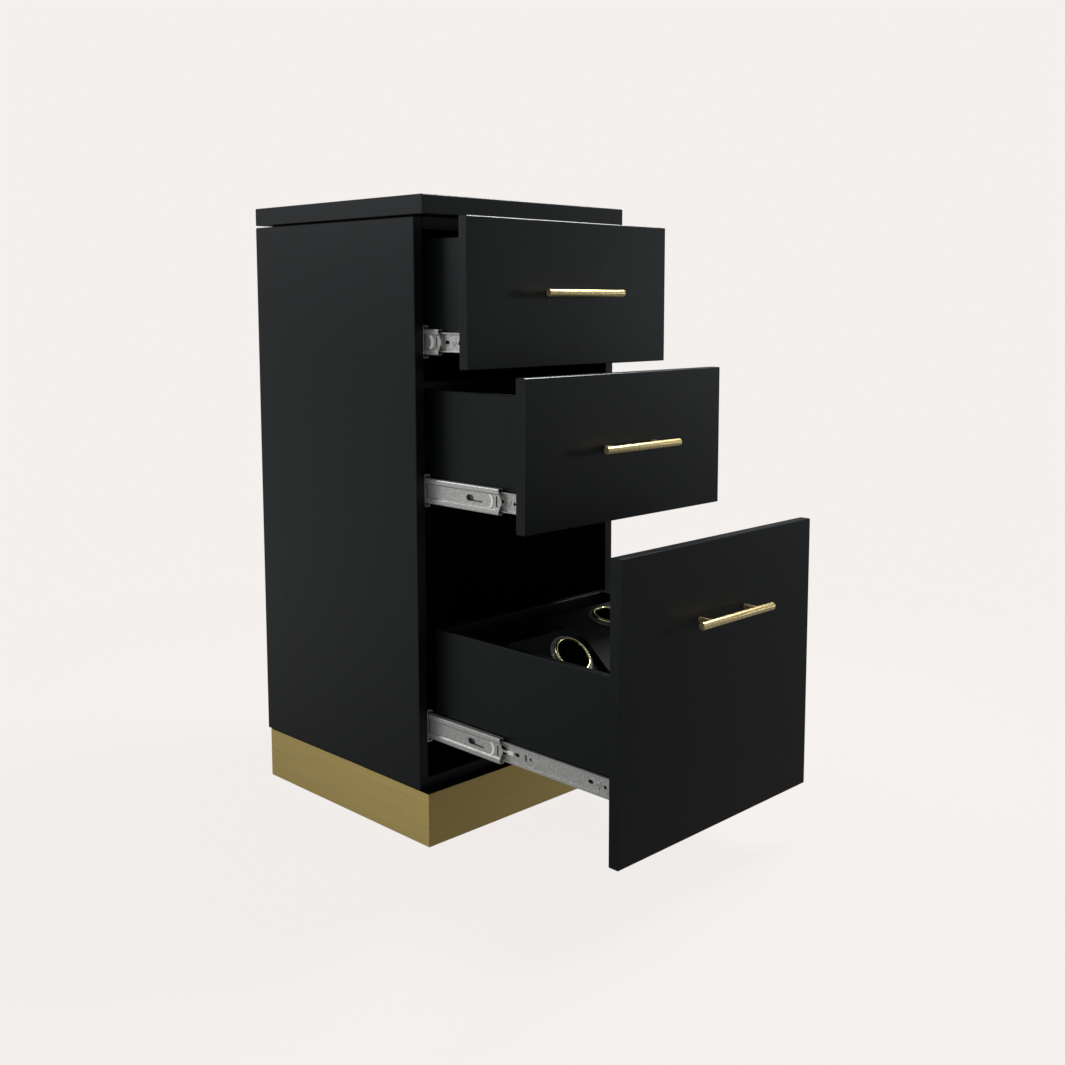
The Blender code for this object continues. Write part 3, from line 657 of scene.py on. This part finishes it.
class CABINET_OT_stage(bpy.types.Operator):
    """Make the pale floor, the soft lights and the camera"""

    bl_idname = "cabinet.stage"
    bl_label = "Stage"

    def execute(self, context):
        studio = context.scene.cabinet_studio
        context.scene.view_settings.view_transform = "Standard"
        self.make_world(context.scene, studio)
        self.make_floor(studio)
        self.make_shade()
        for name, (place, size) in LIGHTS.items():
            self.make_light(name, place, size, getattr(studio, name))
        self.make_camera(context.scene, studio)
        return {"FINISHED"}

    def make_world(self, scene, studio):
        """Pale to the camera; as a light it is dim, with one bright side."""
        start, full = 0.3, 0.95  # cosines of the angles from the bright side's middle
        world = bpy.data.worlds.new("studio")
        world.use_nodes = True
        graph = Graph(world.node_tree)
        even, extra = studio.sky_light
        direction = graph.node("ShaderNodeTexCoord", output="Generated")
        side = graph.along(direction, Vector(studio.bright_side).normalized())
        dim, bright = [graph.node("ShaderNodeBackground", Color=(*studio.cool, 1),
                                  Strength=strength) for strength in (even, even + extra)]
        light = graph.node("ShaderNodeMixShader", None, side.between(start, full), dim, bright)
        seen = graph.node("ShaderNodeBackground", Color=(*studio.paper, 1))
        mixed = graph.node("ShaderNodeMixShader", None, graph.seen_by_camera(), light, seen)
        graph.connect(graph.nodes["World Output"].inputs["Surface"], mixed)
        scene.world = world

    def make_floor(self, studio):
        """A wide round floor."""
        bm = bmesh.new()
        bmesh.ops.create_circle(bm, cap_ends=True, segments=96, radius=40.0)
        self.add_to_stage("floor", finished(bm, "floor"), self.paper(studio))

    def paper(self, studio):
        """Pale paper to the camera, with a faint shadow; to the cabinet it is a dim soft light."""
        near, far = 0.6, 1.8  # the shadow fades out between these distances from the middle
        start, full = 0.1, 1.6  # it brightens between these distances to the bright side
        colour = (*studio.paper, 1)
        finish = Finish("paper_floor", roughness=0.9, Specular_IOR_Level=0.0)
        finish.set("Base Color", colour)
        reach = finish.node("ShaderNodeVectorMath", {"operation": "LENGTH"}, finish.place,
                            output="Value")
        even = reach.between(near, far) * (1 - studio.glow) + studio.glow
        glow = finish.node("ShaderNodeEmission", None, colour)
        surface = Value(finish, finish.shader.outputs[0])
        seen = finish.node("ShaderNodeMixShader", None, even, surface, glow)
        x, y, _ = studio.bright_side
        side = finish.along(finish.place, Vector((x, y, 0)).normalized())
        low, extra = studio.floor_light
        dim, bright = [finish.node("ShaderNodeEmission", Strength=strength)
                       for strength in (low, low + extra)]
        light = finish.node("ShaderNodeMixShader", None, side.between(start, full), dim, bright)
        mixed = finish.node("ShaderNodeMixShader", None, finish.seen_by_camera(), light, seen)
        finish.connect(finish.nodes["Material Output"].inputs["Surface"], mixed)
        return finish.material

    def make_shade(self):
        """A dark sheet inside the hollow plinth, so that no light comes up through its joints."""
        rim = 0.02
        bottom, top = 0.0005, 0.001  # heights above the floor
        low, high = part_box("plinth_frame")
        left, right = low.x + rim, high.x - rim
        front, back = low.y + rim, high.y - rim
        outline = [(left, front), (right, front), (right, back), (left, back)]
        finish = Finish("shade", roughness=1.0, Specular_IOR_Level=0.0)
        finish.set("Base Color", (0, 0, 0, 1))
        self.add_to_stage("shade", slab(outline, bottom, top), finish.material)

    def add_to_stage(self, name, mesh, material):
        """Show a mesh that isn't part of the cabinet."""
        thing = bpy.data.objects.new(name, mesh)
        bpy.context.scene.collection.objects.link(thing)
        mesh.materials.append(material)

    def make_light(self, name, place, size, power):
        """One square soft light that looks at the cabinet's middle."""
        data = bpy.data.lights.new(name, "AREA")
        data.size = size
        data.energy = power
        light = bpy.data.objects.new(name, data)
        light.location = place
        light.visible_camera = False
        look = LIT_POINT - light.location
        light.rotation_euler = look.to_track_quat("-Z", "Y").to_euler()
        bpy.context.scene.collection.objects.link(light)

    def make_camera(self, scene, studio):
        """The camera at eye height of someone who kneels in front of the cabinet."""
        data = bpy.data.cameras.new("camera")
        data.lens = studio.lens
        data.shift_x, data.shift_y = studio.shift
        camera = bpy.data.objects.new("camera", data)
        camera.location = studio.camera
        camera.rotation_euler = (math.pi / 2 - studio.pitch, 0, -studio.heading)
        scene.collection.objects.link(camera)
        scene.camera = camera


class CABINET_OT_boards(bpy.types.Operator):
    """Finish the worktop, the carcass and the drawers in black laminate"""

    bl_idname = "cabinet.boards"
    bl_label = "Boards"

    def execute(self, context):
        finishes = context.scene.cabinet_finishes
        black = made_once("black_laminate", laminate, finishes.board,
                          roughness=finishes.board_gloss)
        boards = ["worktop", "side_panel_left", "side_panel_right", "top_panel",
                  "bottom_panel", "back_panel", "plinth_frame"]
        for drawer in DRAWERS:
            boards += [f"{drawer}_drawer_{part}" for part in
                       ("front", "side_left", "side_right", "back", "bottom")]
        for board in boards:
            blend = paint(board, black, sharp=60).modifiers.new("arrises", "WEIGHTED_NORMAL")
            blend.keep_sharp = True
        return {"FINISHED"}


class CABINET_OT_plinth(bpy.types.Operator):
    """Finish the plinth's cladding in brushed gold"""

    bl_idname = "cabinet.plinth"
    bl_label = "Plinth"

    def execute(self, context):
        finishes = context.scene.cabinet_finishes
        gold = made_once("brushed_gold_sheet", brushed, finishes.cladding, roughness=0.50,
                         grain=(9.0, 9.0, 1500.0))
        paint("plinth_cladding", gold)
        return {"FINISHED"}


class CABINET_OT_slides(bpy.types.Operator):
    """Finish the slides in zinc-plated steel"""

    bl_idname = "cabinet.slides"
    bl_label = "Slides"

    def execute(self, context):
        finishes = context.scene.cabinet_finishes
        zinc = made_once("zinc_plate", zinc_plate, finishes.zinc)
        dark = dull_zinc(finishes)
        for drawer in DRAWERS:
            for side, _ in SIDES:
                for member in ("cabinet_member", "carriage", "drawer_member"):
                    paint(f"{drawer}_{member}_{side}", zinc)
                for cage in ("outer_ball_cage", "inner_ball_cage"):
                    paint(f"{drawer}_{cage}_{side}", dark)
        return {"FINISHED"}


class CABINET_OT_handles(bpy.types.Operator):
    """Make the three bar handles"""

    bl_idname = "cabinet.handles"
    bl_label = "Handles"

    def execute(self, context):
        sizes = context.scene.cabinet_handles
        finishes = context.scene.cabinet_finishes
        gold = made_once("pale_gold_bar", grained, finishes.gold, roughness=0.30,
                         depth=0.00012, metallic=0.8)
        for drawer in DRAWERS:
            node = f"{drawer}_handle"
            mesh = self.handle(sizes, *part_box(node))
            piece = new_piece(f"{drawer}_bar_handle", mesh, gold, f"{drawer}_drawer")
            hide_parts(node)
        return {"FINISHED"}

    def handle(self, sizes, low, high):
        """A bar and its two posts, in the place of the plain handle."""
        radius = (high.z - low.z) / 2
        middle = (low + high) / 2
        axis_y = low.y + radius
        bar = turned(rounded_bar(radius, sizes.edge, (high.x - low.x) / 2), sizes.steps)
        place = Matrix.Translation((middle.x, axis_y, middle.z))
        pieces = [moved(bar, place @ Matrix.Rotation(math.pi / 2, 4, "Y"))]
        reach = high.y - axis_y
        post = turned([(0, 0), (sizes.post_radius, 0), (sizes.post_radius, reach), (0, reach)],
                      sizes.steps // 2)
        for side in (-1, 1):
            place = Matrix.Translation((middle.x + side * sizes.spacing / 2, high.y, middle.z))
            pieces.append(moved(post, place @ Matrix.Rotation(math.pi / 2, 4, "X")))
        return smooth(joined(pieces, "bar_handle"))


class CABINET_OT_trays(bpy.types.Operator):
    """Finish the sloping tool trays"""

    bl_idname = "cabinet.trays"
    bl_label = "Trays"

    def execute(self, context):
        coat = made_once("dull_powder_coat", powder_coat, context.scene.cabinet_finishes.tray)
        for side, _ in SIDES:
            paint(f"{side}_tool_tray", coat)
        return {"FINISHED"}


class CABINET_OT_cups(bpy.types.Operator):
    """Make the two tool cups: steel with a flange, a gold bead and a dark liner"""

    bl_idname = "cabinet.cups"
    bl_label = "Cups"

    def execute(self, context):
        sizes = context.scene.cabinet_cups
        finishes = context.scene.cabinet_finishes
        # The bright bead gold is painted light on the beads.
        gold = made_once("polished_gold", grained, finishes.bead, roughness=0.16,
                         depth=0.00001, metallic=1.0)
        steel = dull_zinc(finishes)
        coat = made_once("dull_powder_coat", powder_coat, finishes.tray)
        for side, lean in (("left", sizes.left_lean), ("right", sizes.right_lean)):
            node = f"{side}_tool_cup"
            place = self.place(sizes, lean, *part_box(node))
            for part, profile, material, slot in (
                    ("shell", self.shell(sizes), steel, "zinc_steel"),
                    ("liner", self.liner(sizes), coat, "black_powder_coat"),
                    ("bead", self.bead(sizes), gold, "brushed_gold")):
                mesh = smooth(moved(turned(profile, sizes.steps), place))
                piece = new_piece(f"{side}_cup_{part}", mesh, material, "bottom_drawer")
                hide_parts(node)
        return {"FINISHED"}

    def place(self, sizes, lean, low, high):
        """Where a cup's axis meets its tray, with Z along the axis."""
        y = (low.y + sizes.flange_radius * math.cos(lean)
             + (sizes.seat + sizes.flange) * math.sin(lean))
        z = (low.z + sizes.depth * math.cos(lean)
             + (sizes.radius - sizes.wall) * math.sin(lean))
        return Matrix.Translation(((low.x + high.x) / 2, y, z)) @ Matrix.Rotation(lean, 4, "X")

    def shell(self, sizes):
        """Profile of the steel cup with its flange."""
        inner = sizes.radius - sizes.wall + sizes.liner
        floor = sizes.wall - sizes.depth
        top = sizes.seat + sizes.flange
        edge = sizes.flange / 2
        rim = arc((sizes.flange_radius - edge, sizes.seat + edge), edge, -90, 90, 6)
        return [(0, -sizes.depth), (sizes.radius - sizes.wall, -sizes.depth),
                (sizes.radius, floor), (sizes.radius, sizes.seat), *rim,
                (sizes.radius, top), (sizes.radius, sizes.stand), (inner, sizes.stand),
                (inner, floor), (0, floor)]

    def liner(self, sizes):
        """Profile of the dark liner inside the cup."""
        outer = sizes.radius - sizes.wall + sizes.liner
        inner = outer - sizes.liner
        floor = sizes.wall - sizes.depth
        return [(0, floor), (outer, floor), (outer, sizes.stand), (inner, sizes.stand),
                (inner, floor + sizes.liner), (0, floor + sizes.liner)]

    def bead(self, sizes, steps=24):
        """Profile of the gold bead: a full round, without its first point a second time."""
        return arc((sizes.radius, sizes.stand), sizes.bead, 0, 360, steps)[:-1]


class CABINET_OT_screws(bpy.types.Operator):
    """Add the screws of the slides and the handles"""

    bl_idname = "cabinet.screws"
    bl_label = "Screws"

    def execute(self, context):
        sizes = context.scene.cabinet_slides
        zinc = made_once("zinc_plate", zinc_plate, context.scene.cabinet_finishes.zinc)
        spacing = context.scene.cabinet_handles.spacing
        head = screw_head(sizes)
        low_head = moved(head, Matrix.Scale(sizes.low_head, 4, (0, 0, 1)))
        for drawer in DRAWERS:
            heads = self.member_screws(f"{drawer}_drawer_member", head, sizes.sheet,
                                       sizes.member_screws, facing=-1)
            heads += self.handle_screws(drawer, head, spacing)
            new_piece(f"{drawer}_drawer_screws", joined(heads, "screws"), zinc,
                      f"{drawer}_drawer")
            heads = self.member_screws(f"{drawer}_cabinet_member", low_head, sizes.sheet,
                                       sizes.cabinet_screws, facing=1)
            new_piece(f"{drawer}_cabinet_screws", joined(heads, "screws"), zinc,
                      "carcass")
        return {"FINISHED"}

    def member_screws(self, member, head, sheet, distances, facing):
        """Screws through a member's webs; facing is 1 where the heads look at the middle."""
        heads = []
        for side, inward in SIDES:
            low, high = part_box(f"{member}_{side}")
            faces = inward * facing
            web = low.x if faces > 0 else high.x
            turn = Matrix.Rotation(faces * math.pi / 2, 4, "Y")
            for distance in distances:
                place = (web + faces * sheet, low.y + distance, (low.z + high.z) / 2)
                heads.append(moved(head, Matrix.Translation(place) @ turn))
        return heads

    def handle_screws(self, drawer, head, spacing):
        """Screws through the front into the handle's posts."""
        low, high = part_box(f"{drawer}_handle")
        _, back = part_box(f"{drawer}_drawer_front")
        turn = Matrix.Rotation(-math.pi / 2, 4, "X")
        return [moved(head, Matrix.Translation((side * spacing / 2, back.y, (low.z + high.z) / 2))
                      @ turn) for side in (-1, 1)]


class CABINET_OT_ribs(bpy.types.Operator):
    """Add the curved plastic stop ribs of the slide carriages"""

    bl_idname = "cabinet.ribs"
    bl_label = "Stop ribs"

    def execute(self, context):
        sizes = context.scene.cabinet_slides
        plastic = made_once("white_plastic", moulded_plastic,
                            context.scene.cabinet_finishes.plastic)
        rib = stop_rib(sizes)
        for drawer in DRAWERS:
            ribs = []
            for side, inward in SIDES:
                low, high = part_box(f"{drawer}_carriage_{side}")
                wall = low.x if inward > 0 else high.x
                place = (wall + inward * sizes.carriage_recess,
                         low.y + sizes.rib_distance, (low.z + high.z) / 2)
                turn = Matrix.Rotation(-inward * math.pi / 2, 4, "Y")
                ribs.append(moved(rib, Matrix.Translation(place) @ turn))
            new_piece(f"{drawer}_stop_ribs", joined(ribs, "ribs"), plastic,
                      f"{drawer}_carriage")
        return {"FINISHED"}


class CABINET_OT_levers(bpy.types.Operator):
    """Add the release levers of the drawer members"""

    bl_idname = "cabinet.levers"
    bl_label = "Release levers"

    def execute(self, context):
        sizes = context.scene.cabinet_slides
        plastic = made_once("white_plastic", moulded_plastic,
                            context.scene.cabinet_finishes.plastic)
        lever = self.lever(sizes)
        for drawer in DRAWERS:
            levers = []
            for side, inward in SIDES:
                low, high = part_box(f"{drawer}_drawer_member_{side}")
                web = high.x if inward > 0 else low.x
                place = Matrix.Translation((web - inward * sizes.sheet,
                                            low.y + sizes.lever_distance,
                                            (low.z + high.z) / 2))
                levers.append(moved(lever, place @ Matrix.Scale(inward, 4, (1, 0, 0))))
            new_piece(f"{drawer}_release_levers", joined(levers, "levers"), plastic,
                      f"{drawer}_drawer")
        return {"FINISHED"}

    def lever(self, sizes):
        """A root plate with a slim bent arm; it stands on X 0 and rises towards -X."""
        width = sizes.lever_width
        length = sizes.lever_length
        plate = width * 1.4  # where the root plate ends
        neck = width * 1.9  # where the arm starts
        outline = [(0, -width / 2), (plate, -width / 2), (neck, -width / 5),
                   (length * 0.9, -width / 3), (length, -width * 0.1),
                   (length, width * 0.2), (length * 0.88, width * 0.25),
                   (neck, width / 5), (plate, width / 2), (0, width / 2)]
        flat = slab(outline, 0, sizes.lever_thickness)
        stand = Matrix(((0, 0, -1, 0), (1, 0, 0, 0), (0, 1, 0, 0), (0, 0, 0, 1)))
        return smooth(moved(flat, stand))


# ---------------------------------------------------------------- add-on

class CABINET_PT_panel(bpy.types.Panel):
    """Lists the cabinet's operators in the sidebar"""

    bl_idname = "CABINET_PT_panel"
    bl_label = "Salon drawer cabinet"
    bl_space_type = "VIEW_3D"
    bl_region_type = "UI"
    bl_category = "Cabinet"

    def draw(self, context):
        for operator in OPERATORS:
            self.layout.operator(operator.bl_idname)


OPERATORS = (
    CABINET_OT_stage,
    CABINET_OT_boards,
    CABINET_OT_plinth,
    CABINET_OT_slides,
    CABINET_OT_handles,
    CABINET_OT_trays,
    CABINET_OT_cups,
    CABINET_OT_screws,
    CABINET_OT_ribs,
    CABINET_OT_levers,
)
GROUPS = {
    "cabinet_handles": HandleSizes,
    "cabinet_cups": CupSizes,
    "cabinet_slides": SlideSizes,
    "cabinet_finishes": Finishes,
    "cabinet_studio": Studio,
}


def register():
    """Register the property groups, the operators and the panel."""
    for name, group in GROUPS.items():
        bpy.utils.register_class(group)
        setattr(bpy.types.Scene, name, PointerProperty(type=group))
    for operator in OPERATORS:
        bpy.utils.register_class(operator)
    bpy.utils.register_class(CABINET_PT_panel)


def unregister():
    """Take everything out again."""
    bpy.utils.unregister_class(CABINET_PT_panel)
    for operator in reversed(OPERATORS):
        bpy.utils.unregister_class(operator)
    for name, group in reversed(GROUPS.items()):
        delattr(bpy.types.Scene, name)
        bpy.utils.unregister_class(group)


def main():
    """Build the looks."""
    register()
    for operator in OPERATORS:
        group, action = operator.bl_idname.split(".")
        getattr(getattr(bpy.ops, group), action)()


if __name__ == "__main__":
    main()
